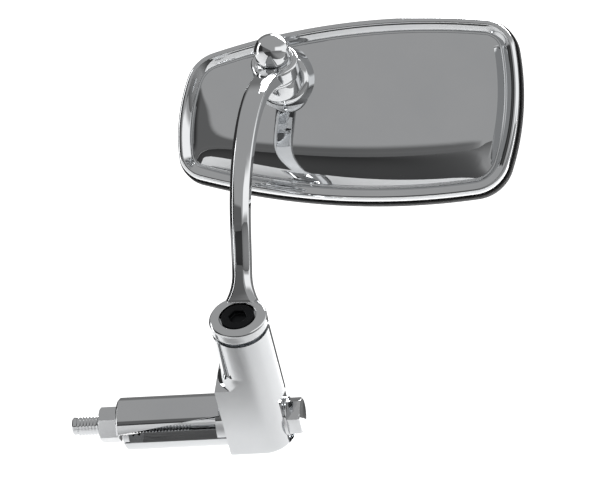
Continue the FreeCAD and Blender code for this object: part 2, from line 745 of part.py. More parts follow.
shaped("clamp_body", make_clamp_body(), column)
shaped("expander_upper", make_expander_upper())
shaped("expander_lower", make_expander_lower())
make_bolt()
make_nut()
bolt_seat = Placement(Vector(size("spot_face_x"), 0, 0), Rotation(Vector(0, 1, 0), 90))
washer("bolt_washer", "Size.bolt_washer_r", "Size.bolt_r + Size.running_gap", "Size.bolt_washer_thick",
       bolt_seat)
shaped("stem", make_stem(), stem_frame)
make_stem_screw()
column_end = column * Placement(Vector(0, 0, size("column_top")), Rotation())
washer("stem_washer", "Size.stem_washer_r", "Size.screw_r + Size.running_gap", "Size.stem_washer_thick",
       column_end)
shaped("pivot_knuckle", make_knuckle(), pivot)
under_eye = pivot * Placement(Vector(0, 0, -size("pivot_washer_thick")), Rotation())
washer("pivot_washer", "Size.pivot_washer_r", "Size.stud_r + Size.running_gap", "Size.pivot_washer_thick",
       under_eye)
over_eye = pivot * Placement(Vector(0, 0, size("top_eye_thick")), Rotation())
washer("dome_washer", "Size.dome_washer_r", "Size.stud_r + Size.running_gap", "Size.dome_washer_thick",
       over_eye)
over_washer = over_eye * Placement(Vector(0, 0, size("dome_washer_thick")), Rotation())
shaped("dome_nut", make_dome_nut(), over_washer)
shaped("back_shell", make_back_shell(), head)
shaped("ball_seat", make_ball_seat(), socket)
shaped("ball_cup", make_ball_cup(), socket)
shaped("ball_spring", make_ball_spring(), socket)
shaped("ball_retainer", make_ball_retainer(), socket)
shaped("retainer_screws", make_retainer_screws(), socket)
shaped("backing_plate", make_backing_plate(), head)
shaped("seal", make_seal(), head)
shaped("glass_pad", make_glass_pad(), head)
shaped("mirror_glass", make_mirror_glass(), head)

doc.recompute()

faults = [item.Name for item in doc.Objects if "Invalid" in item.State or "Error" in item.State]
faults += [item.Label for item in pieces if item.Shape.isNull() or not item.Shape.isValid()]
if faults:
    raise RuntimeError("These did not build: " + ", ".join(faults))

os.makedirs("parts", exist_ok=True)
for item in pieces:
    item.Shape.exportStep("parts/%s.step" % item.Label)
print("column axis", tuple(column.Rotation.multVec(Vector(0, 0, 1))), "eye", tuple(stem_frame.Base))
print("pivot", tuple(pivot.Base), "axis", tuple(pivot.Rotation.multVec(Vector(0, 0, 1))))
print("ball", tuple(ball_centre), "tilt axis", tuple(head_turn.multVec(Vector(1, 0, 0))))
print("roll axis", tuple(head_turn.multVec(Vector(0, -1, 0))))
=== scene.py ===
# %% [markdown]
# # A chrome bar-end mirror
#
# The mirror hangs on the end of a motorcycle's handlebar. Its rigid frame comes from the CAD model, so this
# lesson only gives each piece a finer surface: polished edges, a smooth crowned back, a real thread on the
# bolt, and finishes that reflect a studio. All lengths are written in millimetres and turned to metres
# once.

# %% Load the frame
import json
import math

import bmesh
import bpy
import numpy as np
from mathutils import Matrix, Vector


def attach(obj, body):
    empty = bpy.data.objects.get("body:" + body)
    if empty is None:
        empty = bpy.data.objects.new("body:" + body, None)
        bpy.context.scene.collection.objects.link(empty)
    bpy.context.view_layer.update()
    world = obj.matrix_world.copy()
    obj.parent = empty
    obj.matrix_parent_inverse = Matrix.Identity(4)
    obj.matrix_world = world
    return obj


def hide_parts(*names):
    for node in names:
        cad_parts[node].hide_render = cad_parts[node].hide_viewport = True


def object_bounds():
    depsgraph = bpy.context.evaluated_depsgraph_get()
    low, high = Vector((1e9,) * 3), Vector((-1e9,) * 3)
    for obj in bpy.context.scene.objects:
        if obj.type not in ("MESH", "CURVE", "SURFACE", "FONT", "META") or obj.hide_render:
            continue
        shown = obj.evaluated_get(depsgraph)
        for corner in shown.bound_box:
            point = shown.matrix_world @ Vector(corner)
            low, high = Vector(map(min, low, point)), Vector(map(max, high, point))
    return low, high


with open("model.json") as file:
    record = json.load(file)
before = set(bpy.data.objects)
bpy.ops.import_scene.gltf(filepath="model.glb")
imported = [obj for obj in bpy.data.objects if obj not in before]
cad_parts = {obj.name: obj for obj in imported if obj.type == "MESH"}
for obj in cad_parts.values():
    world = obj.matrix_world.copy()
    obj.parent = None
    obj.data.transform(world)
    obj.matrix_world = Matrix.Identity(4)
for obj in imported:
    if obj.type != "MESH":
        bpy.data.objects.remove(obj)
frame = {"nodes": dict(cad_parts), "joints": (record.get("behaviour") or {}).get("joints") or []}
cad_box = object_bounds()
MM = 0.001
joints = {joint["name"]: joint for joint in frame["joints"]}
print("CAD box in mm:", [[round(v / MM, 1) for v in corner] for corner in cad_box])

# %% [markdown]
# ## Frames of the parts
#
# The stem's foot, the pivot at its top and the ball in the head are all tilted, so working in world axes
# would be hard. Each joint of the frame gives a point and an axis, which is enough to set up a local frame
# for the parts that sit there. A local frame here also turns millimetres to metres, so that a profile can
# be written in the sizes that one would measure with a calliper.

# %% Local frames from the joints


def axes_at(origin, along_y, along_z):
    """Matrix of a local frame in millimetres, with its Z along one direction and its Y near another."""
    z = along_z.normalized()
    x = along_y.cross(z).normalized()
    place = Matrix((x, z.cross(x), z)).transposed().to_4x4()
    place.translation = origin
    return place @ Matrix.Scale(MM, 4)


column_axis = Vector(joints["stem_swing"]["axis"])
eye = Vector(joints["stem_swing"]["pos_m"])
pivot = Vector(joints["knuckle_swivel"]["pos_m"])
ball = Vector(joints["head_tilt"]["pos_m"])
tilt_axis = Vector(joints["head_tilt"]["axis"])
roll_axis = Vector(joints["head_roll"]["axis"])
bar_frame = Matrix.Scale(MM, 4)
stem_frame = axes_at(eye, pivot - eye, column_axis)
pivot_frame = axes_at(pivot, pivot - eye, column_axis)
# In the head, X runs along the tilt axis, Y towards the glass and Z up.
head_frame = axes_at(ball, -roll_axis, tilt_axis.cross(-roll_axis))
# Turned pieces of the ball socket have their Z towards the front of the bike.
socket_frame = axes_at(ball, tilt_axis.cross(-roll_axis), roll_axis)
to_pivot = stem_frame.inverted() @ pivot
print("stem reach and rise in mm:", round(to_pivot.y, 2), round(to_pivot.z, 2))

# %% [markdown]
# ## Finishes
#
# Nearly all of the mirror is bright chrome on steel. Chrome is a mirror that returns a little over half of
# the light, so its look is decided by the room around it. A perfect mirror looks like a computer drawing,
# so each finish has faint marks: wiping haze and hairline scratches on chrome, grain on rubber. A single
# helper adds a node, sets its values and makes its links.

# %% Helpers for finishes


def linear(hex_colour):
    """sRGB hex to the linear colour that the shader takes."""
    parts = [int(hex_colour[i:i + 2], 16) / 255 for i in (1, 3, 5)]
    return tuple(c / 12.92 if c <= 0.04045 else ((c + 0.055) / 1.055) ** 2.4 for c in parts) + (1.0,)


def add(tree, kind, inputs=None, **settings):
    """Add a node with its settings; an input is a value, or a (node, output) pair to link."""
    node = tree.nodes.new(kind)
    for key, value in settings.items():
        setattr(node, key, value)
    for key, value in (inputs or {}).items():
        if isinstance(value, tuple) and isinstance(value[0], bpy.types.Node):
            tree.links.new(value[0].outputs[value[1]], node.inputs[key])
        else:
            node.inputs[key].default_value = value
    return node


def per_metre(size_mm):
    """Scale of a texture whose features are about this many millimetres apart."""
    return 1 / (size_mm * MM)


def new_finish(name):
    """A material with a Principled shader and a texture coordinate, both ready to link."""
    finish = bpy.data.materials.new(name)
    finish.use_nodes = True
    tree = finish.node_tree
    shader = tree.nodes["Principled BSDF"]
    place = add(tree, "ShaderNodeTexCoord")
    return finish, tree, shader, (place, "Object")


def colour_between(tree, factor, first, second):
    """A colour that a factor moves from one sRGB hex colour to another."""
    return add(tree, "ShaderNodeMix", {"Factor": factor, "A": linear(first), "B": linear(second)},
               data_type="RGBA")


def link_finish(tree, shader, colour, rough, bump):
    """Send colour, gloss and relief to the shader."""
    tree.links.new(colour.outputs["Result"], shader.inputs["Base Color"])
    tree.links.new(rough.outputs["Result"], shader.inputs["Roughness"])
    tree.links.new(bump.outputs["Normal"], shader.inputs["Normal"])


# %% Finishes of the mirror
WIPE_MM, WIPE_LOW, WIPE_HIGH = 14, 0.35, 0.7
CLEAN_ROUGHNESS = 0.015
HAIRLINE_MM, HAIRLINE_DEPTH = 6, 0.02
HAIRLINE_TURN, HAIRLINE_STRETCH = (0.6, 0.4, 0.9), (1.0, 12.0, 12.0)
GRAINS_PER_PATCH, GRAIN_LOW, GRAIN_HIGH, GRAIN_STRENGTH = 14, 0.3, 0.7, 0.4


def bright_chrome(name, haze, scratch):
    """Decorative chromium plate: neutral and mirror bright, with wiping haze and slanting hairlines."""
    finish, tree, shader, place = new_finish(name)
    shader.inputs["Metallic"].default_value = 1.0
    wipe = add(tree, "ShaderNodeTexNoise", {"Vector": place, "Scale": per_metre(WIPE_MM), "Detail": 3.0})
    rough = add(tree, "ShaderNodeMapRange", {"Value": (wipe, "Fac"), "From Min": WIPE_LOW,
                                             "From Max": WIPE_HIGH, "To Min": CLEAN_ROUGHNESS, "To Max": haze})
    colour = colour_between(tree, (wipe, "Fac"), "#CDCFD1", "#D6D7D8")
    askew = add(tree, "ShaderNodeMapping", {"Vector": place, "Rotation": HAIRLINE_TURN,
                                            "Scale": HAIRLINE_STRETCH})
    lines = add(tree, "ShaderNodeTexNoise", {"Vector": (askew, "Vector"), "Scale": per_metre(HAIRLINE_MM),
                                             "Detail": 4.0})
    bump = add(tree, "ShaderNodeBump", {"Height": (lines, "Fac"), "Strength": scratch,
                                        "Distance": HAIRLINE_DEPTH * MM})
    link_finish(tree, shader, colour, rough, bump)
    return finish


def grained(name, dark, light, grain_mm, rough_low, rough_high, metallic, bump_mm):
    """A moulded, plated or blacked surface: fine grain in its colour, gloss and relief."""
    finish, tree, shader, place = new_finish(name)
    shader.inputs["Metallic"].default_value = metallic
    grain = add(tree, "ShaderNodeTexNoise", {"Vector": place, "Scale": per_metre(grain_mm), "Detail": 5.0})
    patch = add(tree, "ShaderNodeTexNoise", {"Vector": place, "Scale": per_metre(grain_mm * GRAINS_PER_PATCH),
                                             "Detail": 2.0})
    colour = colour_between(tree, (patch, "Fac"), dark, light)
    rough = add(tree, "ShaderNodeMapRange", {"Value": (grain, "Fac"), "From Min": GRAIN_LOW,
                                             "From Max": GRAIN_HIGH, "To Min": rough_low,
                                             "To Max": rough_high})
    bump = add(tree, "ShaderNodeBump", {"Height": (grain, "Fac"), "Strength": GRAIN_STRENGTH,
                                        "Distance": bump_mm * MM})
    link_finish(tree, shader, colour, rough, bump)
    return finish


# Pressed and turned parts are polished before plating; forged ones keep a little more haze.
polished_chrome = bright_chrome("polished_chrome_plate", 0.035, 0.03)
forged_chrome = bright_chrome("forged_chrome_plate", 0.07, 0.06)
# Silvering behind float glass: quite even and without hairlines, under the gloss of the glass.
GLASS_COAT = 0.6
silvered_glass = bright_chrome("silvered_convex_glass", 0.012, 0.0)
silvered_glass.node_tree.nodes["Principled BSDF"].inputs["Coat Weight"].default_value = GLASS_COAT
# Black oxide on a hardened socket screw: dark, slightly oily, with fine pits.
black_oxide = grained("black_oxide_steel", "#101113", "#1E2023", 0.25, 0.28, 0.5, 0.8, 0.02)
# Bright zinc on small pressed parts: soft gloss with spangle about a millimetre wide.
zinc_plate = grained("zinc_plated_steel", "#8D9196", "#A9ADB1", 0.9, 0.22, 0.4, 1.0, 0.01)
# Extruded EPDM rubber: nearly black and matt.
epdm_rubber = grained("extruded_epdm_rubber", "#0B0B0C", "#171718", 0.3, 0.5, 0.75, 0.0, 0.03)
# Moulded nylon: milky, with a fine texture from the mould.
moulded_nylon = grained("moulded_nylon", "#C9C4B4", "#DAD5C6", 0.4, 0.35, 0.5, 0.0, 0.02)
# Closed-cell foam tape: dark grey, with cells a third of a millimetre wide.
foam_tape = grained("closed_cell_foam", "#232425", "#343536", 0.35, 0.8, 0.95, 0.0, 0.08)
print("finishes:", [m.name for m in bpy.data.materials if m.use_nodes and m.users == 0])

# %% [markdown]
# ## Tools for the meshes
#
# Three ways of working make every piece. A turned part is a half profile that `spin` takes round an axis. A
# part with a long rim is a ring of vertices that is extruded through a series of loops. A part that is
# already right in the CAD model, such as the clamp, is copied, its doubles are merged, its flat triangles
# dissolved, and its edges bevelled, because no plated edge is perfectly sharp and the thin highlight there
# tells it.

# %% Helpers for meshes
WELD_MM = 0.002
FLAT_DEG = 0.5
SLIVER_AREA = 0.0001
BEVEL_SEGMENTS = 3
ROUND_STEPS, SLIM_STEPS = 96, 64
# The middle of a quarter round lies this share of its radius inside the two sides that it joins.
ARC_MIDDLE = 1 - math.sqrt(0.5)


def finish_piece(name, bm, body, finish, nodes, place=bar_frame, crease_deg=40.0):
    """Close a mesh, put it in place, attach it to its body and hide the CAD nodes that it stands for."""
    bmesh.ops.remove_doubles(bm, verts=bm.verts, dist=WELD_MM)
    # A bevel can leave a sliver that hangs on one edge, and a thread's two ends are open until filled.
    slivers = [face for face in bm.faces
               if face.calc_area() < SLIVER_AREA and any(edge.is_boundary for edge in face.edges)]
    bmesh.ops.delete(bm, geom=slivers, context="FACES")
    bmesh.ops.holes_fill(bm, edges=[edge for edge in bm.edges if edge.is_boundary], sides=0)
    bmesh.ops.recalc_face_normals(bm, faces=bm.faces)
    bmesh.ops.transform(bm, matrix=place, verts=bm.verts)
    mesh = bpy.data.meshes.new(name)
    open_edges = sum(edge.is_boundary for edge in bm.edges)
    bm.to_mesh(mesh)
    bm.free()
    mesh.shade_smooth()
    mesh.set_sharp_from_angle(angle=math.radians(crease_deg))
    mesh.materials.append(finish)
    piece = bpy.data.objects.new(name, mesh)
    bpy.context.scene.collection.objects.link(piece)
    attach(piece, body)
    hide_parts(*nodes)
    print(name, "faces", len(mesh.polygons), "open edges", open_edges)
    return piece


def even_shading(piece):
    """Let large flat faces keep their own direction, so that only the bevels bend the reflection."""
    weights = piece.modifiers.new("even shading", "WEIGHTED_NORMAL")
    weights.keep_sharp = True


def settle(bm):
    """Tag all vertices that are there, so that the next turned part is moved alone."""
    for vert in bm.verts:
        vert.tag = True


def turn(bm, profile, steps=ROUND_STEPS, place=Matrix.Identity(4)):
    """Spin a closed half profile of (radius, height) points round Z and move it to its place."""
    verts = [bm.verts.new((radius, 0, height)) for radius, height in profile]
    edges = [bm.edges.new((a, b)) for a, b in zip(verts, verts[1:] + verts[:1])]
    bmesh.ops.spin(bm, geom=verts + edges, cent=(0, 0, 0), axis=(0, 0, 1), dvec=(0, 0, 0),
                   angle=math.tau, steps=steps, use_merge=True)
    made = [vert for vert in bm.verts if not vert.tag]
    bmesh.ops.transform(bm, matrix=place, verts=made)
    settle(bm)


def bend(start, through, end, count):
    """Points of the arc through three (radius, height) points, without its start."""
    (ax, ay), (bx, by), (cx, cy) = start, through, end
    d = 2 * (ax * (by - cy) + bx * (cy - ay) + cx * (ay - by))
    a2, b2, c2 = ax * ax + ay * ay, bx * bx + by * by, cx * cx + cy * cy
    ux = (a2 * (by - cy) + b2 * (cy - ay) + c2 * (ay - by)) / d
    uy = (a2 * (cx - bx) + b2 * (ax - cx) + c2 * (bx - ax)) / d
    first, middle, last = (math.atan2(y - uy, x - ux) for x, y in (start, through, end))
    sweep = (last - first) % math.tau
    if (middle - first) % math.tau > sweep:
        sweep -= math.tau
    radius = math.hypot(ax - ux, ay - uy)
    angles = [first + sweep * i / count for i in range(1, count + 1)]
    return [(ux + radius * math.cos(angle), uy + radius * math.sin(angle)) for angle in angles]


def pull_loops(bm, loops):
    """Extrude a ring of vertices through a series of loops; returns the edges of the last ring."""
    station = bm.verts.layers.int.new("station")
    ring = bmesh.ops.create_circle(bm, radius=1.0, segments=len(loops[0]))["verts"]
    for index, vert in enumerate(ring):
        vert[station] = index
        vert.co = loops[0][index]
    edges = list({edge for vert in ring for edge in vert.link_edges})
    for loop in loops[1:]:
        grown = bmesh.ops.extrude_edge_only(bm, edges=edges)["geom"]
        edges = [item for item in grown if isinstance(item, bmesh.types.BMEdge)]
        for item in grown:
            if isinstance(item, bmesh.types.BMVert):
                item.co = loop[item[station]]
    return edges


def soften(bm, width, angle_deg=30.0):
    """Bevel the edges that turn by more than an angle."""
    sharp = [edge for edge in bm.edges
             if edge.is_manifold and edge.calc_face_angle(0.0) > math.radians(angle_deg)]
    bmesh.ops.bevel(bm, geom=sharp, offset=width, offset_type="OFFSET", affect="EDGES",
                    segments=BEVEL_SEGMENTS, profile=0.5, material=-1, clamp_overlap=True)


def polished_copy(node, edge_mm, keep=None):
    """A merged copy of a CAD node in millimetres with bevelled edges; keep is a half space to cut it to."""
    bm = bmesh.new()
    bm.from_mesh(frame["nodes"][node].data)
    bmesh.ops.scale(bm, vec=(1 / MM,) * 3, verts=bm.verts)
    bmesh.ops.remove_doubles(bm, verts=bm.verts, dist=WELD_MM)
    if keep:
        point, normal = keep
        cut = bmesh.ops.bisect_plane(bm, geom=bm.verts[:] + bm.edges[:] + bm.faces[:], plane_co=point,
                                     plane_no=normal, clear_inner=True)["geom_cut"]
        bmesh.ops.edgeloop_fill(bm, edges=[item for item in cut if isinstance(item, bmesh.types.BMEdge)])
    bmesh.ops.dissolve_limit(bm, angle_limit=math.radians(FLAT_DEG), verts=bm.verts, edges=bm.edges)
    soften(bm, edge_mm)
    return bm


# %% [markdown]
# ## Expander and clamp
#
# The expander is a split sleeve that a long bolt squeezes inside the handlebar. Its halves, the clamp body,
# the nut and the washers are plain machined shapes, so they are polished copies of the CAD nodes. The
# halves get a wider bevel than the fasteners, because the plating builds up on the edges of the oblique
# cut.

# %% Clamp, sleeve halves, nut and washers
copies = [
    ("clamp", "clamp_body", "clamp", "chrome", polished_chrome, 0.35),
    ("sleeve_upper", "expander_upper", "wedge", "chrome", forged_chrome, 0.3),
    ("sleeve_lower", "expander_lower", "clamp", "chrome", forged_chrome, 0.3),
    ("sleeve_nut", "expander_nut", "nut", "chrome", polished_chrome, 0.15),
    ("head_washer", "bolt_washer", "clamp", "chrome", polished_chrome, 0.15),
    ("eye_washer", "stem_washer", "clamp", "plain_steel", zinc_plate, 0.1),
    ("socket_screw", "stem_screw", "clamp", "black_steel", black_oxide, 0.25),
    ("nut_washer", "dome_washer", "arm", "chrome", polished_chrome, 0.12),
    ("knuckle_washer", "pivot_washer", "arm", "chrome", polished_chrome, 0.15),
]
for name, node, body, slot, finish, edge_mm in copies:
    even_shading(finish_piece(name, polished_copy(node, edge_mm), body, finish, [node]))

# %% [markdown]
# ## Bolt with a real thread
#
# The CAD bolt is a plain rod. On the real one the rolled thread shows at the tail and again inside the open
# sleeve, so the shank is made here. One tooth of the thread, as wide as the pitch, is spun round the bolt's
# axis while it moves along it; each turn's edge meets the next turn's and the doubles merge into one skin.
# The hex head is cut from the CAD bolt, because its chamfer is already the right curve.

# %% Bolt
PITCH, THREAD_DEPTH, CREST = 1.0, 0.55, 0.18
BOLT_R = 3.0
ROOT_R = BOLT_R - THREAD_DEPTH
THREAD_STEPS = 28
BOLT_TAIL, THREAD_END, HEAD_SEAT = -48.6, -11.5, 18.5
TAIL_CHAMFER, RUN_OUT = 0.9, 1.2
TIP_IN, TIP_OUT, TIP_LENGTH = 0.15, 0.25, 0.4
HEX_EDGE = 0.18
# The core is a hair thicker than the thread's root and the head a hair off its seat, so no faces coincide.
HAIR = 0.02


def thread_skin(bm, start, turns):
    """One tooth spun along a helix about X; the thread's crests stay within the bolt's radius."""
    tooth = [(0.0, ROOT_R), (0.5 - CREST / 2, BOLT_R), (0.5 + CREST / 2, BOLT_R), (1.0, ROOT_R)]
    verts = [bm.verts.new((start + share * PITCH, radius, 0)) for share, radius in tooth]
    edges = [bm.edges.new(pair) for pair in zip(verts, verts[1:])]
    bmesh.ops.spin(bm, geom=verts + edges, cent=(0, 0, 0), axis=(1, 0, 0), dvec=(PITCH / THREAD_STEPS, 0, 0),
                   angle=math.tau * turns, steps=THREAD_STEPS * turns)
    bmesh.ops.remove_doubles(bm, verts=bm.verts, dist=WELD_MM)


along_bar = Matrix.Rotation(math.radians(90), 4, "Y")
bolt = polished_copy("expander_bolt", HEX_EDGE, keep=((HEAD_SEAT + HAIR, 0, 0), (1, 0, 0)))
thread_start = BOLT_TAIL + TAIL_CHAMFER
thread_skin(bolt, thread_start, int((THREAD_END - thread_start) / PITCH))
settle(bolt)
profile = [(0, BOLT_TAIL), (ROOT_R - TIP_IN, BOLT_TAIL), (ROOT_R + TIP_OUT, BOLT_TAIL + TIP_LENGTH)]
profile += [(ROOT_R + HAIR, thread_start + PITCH), (ROOT_R + HAIR, THREAD_END - RUN_OUT)]
profile += [(BOLT_R, THREAD_END), (BOLT_R, HEAD_SEAT), (0, HEAD_SEAT)]
turn(bolt, profile, SLIM_STEPS, along_bar)
finish_piece("through_bolt", bolt, "bolt", polished_chrome, ["expander_bolt"], crease_deg=32.0)

# %% [markdown]
# ## Stem
#
# The stem is a forged arm that leaves its lower eye like the shank of a spanner, arches towards the bike's
# front and ends in a second eye. Its section is flat in front between two wide bevels. Eight vertices make
# the section, which is extruded along a smooth curve through the arch's points; the long edges are then
# bevelled so that each line of the forging carries its own highlight. The eyes are turned profiles.

# %% Stem
LOW_EYE_R, LOW_EYE_THICK = 8.85, 4.2
TOP_EYE_R, TOP_EYE_THICK = 7.3, 5.5
EYE_EDGE = 1.2
SCREW_R, STUD_R = 3.05, 3.05
RECESS_R, RECESS_DEPTH, RECESS_LIP = 5.6, 2.4, 0.25
STEM_ARCH = 30.6
STEM_SHAPE = [(0.075, 0.0), (0.15, 0.20), (0.28, 0.63), (0.43, 0.91), (0.58, 1.0), (0.76, 0.91)]
LOW_WIDTH, HIGH_WIDTH, STEM_DEPTH, STEM_BEVEL = 5.4, 7.2, 5.6, 1.5
FLARE_WIDTH, FLARE_SHARE, FLARE_POWER = 5.6, 0.1, 2.2
# The arm ends inside its upper eye, this share of the eye's radius before its middle.
ARM_STOP = 0.6
FORGE_EDGE, FORGE_ANGLE = 0.45, 25.0
STATIONS = 72


def smooth_path(points, count):
    """Natural cubic spline through points, sampled evenly; returns (point, direction) pairs."""
    data = np.array(points)
    knots = np.concatenate([[0], np.cumsum(np.linalg.norm(np.diff(data, axis=0), axis=1))])
    gaps = np.diff(knots)
    size = len(points)
    system, right = np.eye(size), np.zeros(data.shape)
    for i in range(1, size - 1):
        system[i, i - 1:i + 2] = gaps[i - 1], 2 * (gaps[i - 1] + gaps[i]), gaps[i]
        right[i] = 6 * ((data[i + 1] - data[i]) / gaps[i] - (data[i] - data[i - 1]) / gaps[i - 1])
    second = np.linalg.solve(system, right)

    def at(distance):
        i = min(int(np.searchsorted(knots, distance, "right")) - 1, size - 2)
        a, b, h = (knots[i + 1] - distance), (distance - knots[i]), gaps[i]
        return Vector((second[i] * a ** 3 + second[i + 1] * b ** 3) / (6 * h)
                      + (data[i] / h - second[i] * h / 6) * a + (data[i + 1] / h - second[i + 1] * h / 6) * b)

    small = knots[-1] / count / 50
    path = []
    for step in range(count + 1):
        distance = knots[-1] * step / count
        low, high = max(distance - small, 0), min(distance + small, knots[-1])
        path.append((at(distance), (at(high) - at(low)).normalized()))
    return path


def arm_width(share):
    """Width along the arm: a spanner-like flare at the foot, then a slow taper up to the pivot."""
    width = LOW_WIDTH + share * (HIGH_WIDTH - LOW_WIDTH)
    foot = max(0.0, 1 - share / FLARE_SHARE)
    return width + FLARE_WIDTH * foot ** FLARE_POWER


stem = bmesh.new()
reach, rise = to_pivot.y, to_pivot.z
route = [(0, along * reach, LOW_EYE_THICK / 2 + up * STEM_ARCH) for along, up in STEM_SHAPE]
route.append((0, reach - TOP_EYE_R * ARM_STOP, rise + TOP_EYE_THICK / 2))
sections = []
for step, (point, along) in enumerate(smooth_path(route, STATIONS)):
    across = Vector((1, 0, 0))
    front = across.cross(along)
    half, deep, small = arm_width(step / STATIONS) / 2, STEM_DEPTH / 2, STEM_BEVEL / 2
    corners = [(half - small, -deep), (half, small - deep)]
    corners += [(half, deep - STEM_BEVEL), (half - STEM_BEVEL, deep)]
    corners += [(-a, b) for a, b in reversed(corners)]
    sections.append([point + across * a + front * b for a, b in corners])
last = pull_loops(stem, sections)
bmesh.ops.edgeloop_fill(stem, edges=last)
bmesh.ops.edgeloop_fill(stem, edges=[edge for edge in stem.edges if edge.is_boundary])
soften(stem, FORGE_EDGE, FORGE_ANGLE)
settle(stem)


def eye_profile(radius, thick, bore, recess_r=None, recess_depth=0.0):
    """Half section of an eye with rounded lips and, for the lower one, a recess for the screw's head."""
    edge = EYE_EDGE
    slope = edge * ARC_MIDDLE
    points = [(bore, 0), (radius - edge, 0)]
    points += bend((radius - edge, 0), (radius - slope, slope), (radius, edge), 6)
    points += [(radius, thick - edge)]
    points += bend((radius, thick - edge), (radius - slope, thick - slope), (radius - edge, thick), 6)
    if recess_r:
        points += [(recess_r + RECESS_LIP, thick), (recess_r, thick - RECESS_LIP)]
        points += [(recess_r, thick - recess_depth)]
        return points + [(bore, thick - recess_depth)]
    return points + [(bore, thick)]


turn(stem, eye_profile(LOW_EYE_R, LOW_EYE_THICK, SCREW_R, RECESS_R, RECESS_DEPTH))
turn(stem, eye_profile(TOP_EYE_R, TOP_EYE_THICK, STUD_R), place=Matrix.Translation((0, reach, rise)))
even_shading(finish_piece("arched_stem", stem, "arm", polished_chrome, ["stem"], stem_frame, 50.0))

# %% [markdown]
# ## Dome nut and knuckle
#
# The dome nut is egg-shaped: a narrow foot, a full waist and a crown that closes in one sweep. The knuckle
# under the eye is a small barrel with a rounded bottom, and a neck that runs back to the ball in the head.
# Both are turned shapes, so half profiles with arcs give them without a facet.

# %% Dome nut and knuckle
DOME_R, DOME_FOOT_R, DOME_WAIST, DOME_HEIGHT = 5.4, 4.7, 2.4, 8.6
DOME_EDGE, WAIST_SHARE, WAIST_BULGE = 0.2, 0.4, 0.15
SHOULDER_OUT, SHOULDER_UP = 0.76, 0.68
DOME_WASHER_THICK = 0.5
BARREL_R, BARREL_HEIGHT, BARREL_EDGE = 6.3, 7.0, 2.2
BARREL_LIP, LIP_MIDDLE = 0.4, 0.12
WASHER_THICK = 0.8
STUD_GAP, STUD_GRIP = 0.05, 4.5
NECK_ROOT_R, NECK_TIP_R = 3.5, 2.3
# The neck's foot is wider than its root and ends in a hollow curve.
FOOT_EXTRA, FOOT_START, FOOT_END = 1.6, 2.0, 4.9
HOLLOW_IN, HOLLOW_AT = 0.2, 6.9
BALL_R = 4.5

dome = bmesh.new()
profile = [(0, 0), (DOME_FOOT_R - DOME_EDGE, 0), (DOME_FOOT_R, DOME_EDGE)]
below_waist = ((DOME_FOOT_R + DOME_R) / 2 + WAIST_BULGE, DOME_WAIST * WAIST_SHARE)
profile += bend((DOME_FOOT_R, DOME_EDGE), below_waist, (DOME_R, DOME_WAIST), 8)
shoulder = (DOME_R * SHOULDER_OUT, DOME_WAIST + (DOME_HEIGHT - DOME_WAIST) * SHOULDER_UP)
profile += bend((DOME_R, DOME_WAIST), shoulder, (0, DOME_HEIGHT), 24)
turn(dome, profile)
dome_seat = TOP_EYE_THICK + DOME_WASHER_THICK
over_washer = pivot_frame @ Matrix.Translation((0, 0, dome_seat))
finish_piece("egg_nut", dome, "knuckle", polished_chrome, ["dome_nut"], over_washer, 60.0)

knuckle = bmesh.new()
low = -WASHER_THICK - BARREL_HEIGHT
edge_mid = BARREL_EDGE * ARC_MIDDLE
profile = [(0, low), (BARREL_R - BARREL_EDGE, low)]
profile += bend((BARREL_R - BARREL_EDGE, low), (BARREL_R - edge_mid, low + edge_mid),
                (BARREL_R, low + BARREL_EDGE), 10)
profile += [(BARREL_R - inset, -WASHER_THICK - drop)
            for inset, drop in ((0, BARREL_LIP), (LIP_MIDDLE, LIP_MIDDLE), (BARREL_LIP, 0))]
profile += [(STUD_R - STUD_GAP, -WASHER_THICK), (STUD_R - STUD_GAP, dome_seat + STUD_GRIP)]
profile += [(0, dome_seat + STUD_GRIP)]
turn(knuckle, profile)
barrel_middle = Vector((0, 0, low + BARREL_HEIGHT / 2))
to_ball = pivot_frame.inverted() @ ball - barrel_middle
neck_length = to_ball.length
join = math.sqrt(BALL_R ** 2 - NECK_TIP_R ** 2)
profile = [(0, 0), (NECK_ROOT_R + FOOT_EXTRA, FOOT_START)]
profile += bend((NECK_ROOT_R + FOOT_EXTRA, FOOT_END), (NECK_ROOT_R - HOLLOW_IN, HOLLOW_AT),
                (NECK_TIP_R, neck_length - join), 14)
profile += bend((NECK_TIP_R, neck_length - join), (BALL_R, neck_length), (0, neck_length + BALL_R), 24)
neck_place = Matrix.Translation(barrel_middle) @ to_ball.to_track_quat("Z", "Y").to_matrix().to_4x4()
turn(knuckle, profile, SLIM_STEPS, neck_place)
finish_piece("pivot_barrel", knuckle, "knuckle", polished_chrome, ["pivot_knuckle"], pivot_frame,
             60.0)

# %% [markdown]
# ## Outline of the head
#
# Seen from the back, the head is a trapezoid with four bowed sides and round corners. The sides are arcs of
# large circles, and each corner is a small arc that touches two of them. Walking once round these eight
# arcs gives points and their outward directions, so any loop of the head is the outline moved in by some
# amount.

# %% Outline
CENTRE = Vector((19.5, -9.8))
CORNERS = [Vector((-47.3, 16.6)), Vector((48.9, 27.9)), Vector((46.2, -23.4)), Vector((-51.1, -18.7))]
BOWS = [5.7, 4.35, 5.5, 2.9]
ROUNDS = [10.0, 12.0, 8.5, 12.0]
SIDE_STEPS = [64, 36, 64, 28]
CORNER_STEPS = 18


def crossing(centre_a, radius_a, centre_b, radius_b, near):
    """The crossing of two circles that lies nearest to a point."""
    apart = centre_b - centre_a
    along = (apart.length_squared + radius_a ** 2 - radius_b ** 2) / (2 * apart.length)
    aside = math.sqrt(radius_a ** 2 - along ** 2)
    unit = apart.normalized()
    foot = centre_a + unit * along
    sideways = Vector((-unit.y, unit.x)) * aside
    return min((foot + sideways, foot - sideways), key=lambda point: (point - near).length)


